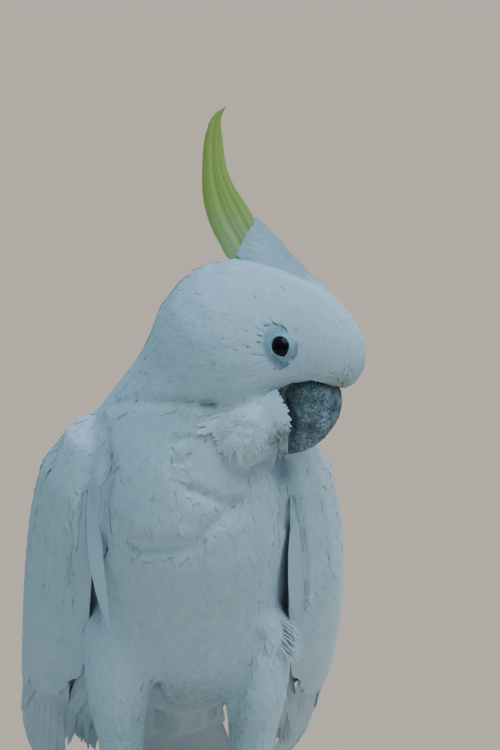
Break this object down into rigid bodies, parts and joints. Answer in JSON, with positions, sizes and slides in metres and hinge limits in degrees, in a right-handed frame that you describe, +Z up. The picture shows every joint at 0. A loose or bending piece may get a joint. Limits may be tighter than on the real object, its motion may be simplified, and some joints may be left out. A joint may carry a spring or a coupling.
{
  "type": "white cockatoo",
  "caption": "Life-size standing white cockatoo, a still museum-type model with a half-raised yellow crest, folded wings and its head turned to its left and bowed.",
  "frame": {"origin": "on the ground, under the middle of the bird's outline", "axes": "+Z up, the trunk faces -Y with the tail laid back towards +Y, +X is the bird's left"},
  "size_m": [0.1548, 0.33, 0.3529],
  "materials": {
    "plumage": "matt white feather",
    "yellow_plumage": "matt yellow feather, white at the roots",
    "bill_horn": "dark grey horn with a powdery bloom",
    "claw_horn": "dark horn, half gloss",
    "scaled_skin": "grey scaled skin",
    "eye_glaze": "glossy dark brown glaze"
  },
  "bodies": {
    "root": {"head": "plumage", "neck": "plumage", "trunk": "plumage", "tail": "plumage", "crest": "yellow_plumage", "bill_upper": "bill_horn", "bill_lower": "bill_horn", "eye_left": "eye_glaze", "wing_left": "plumage", "thigh_left": "plumage", "foot_left": "scaled_skin", "claw_left_inner_front": "claw_horn", "claw_left_outer_front": "claw_horn", "claw_left_outer_rear": "claw_horn", "claw_left_inner_rear": "claw_horn", "eye_right": "eye_glaze", "wing_right": "plumage", "thigh_right": "plumage", "foot_right": "scaled_skin", "claw_right_inner_front": "claw_horn", "claw_right_outer_front": "claw_horn", "claw_right_outer_rear": "claw_horn", "claw_right_inner_rear": "claw_horn"}
  },
  "joints": []
}
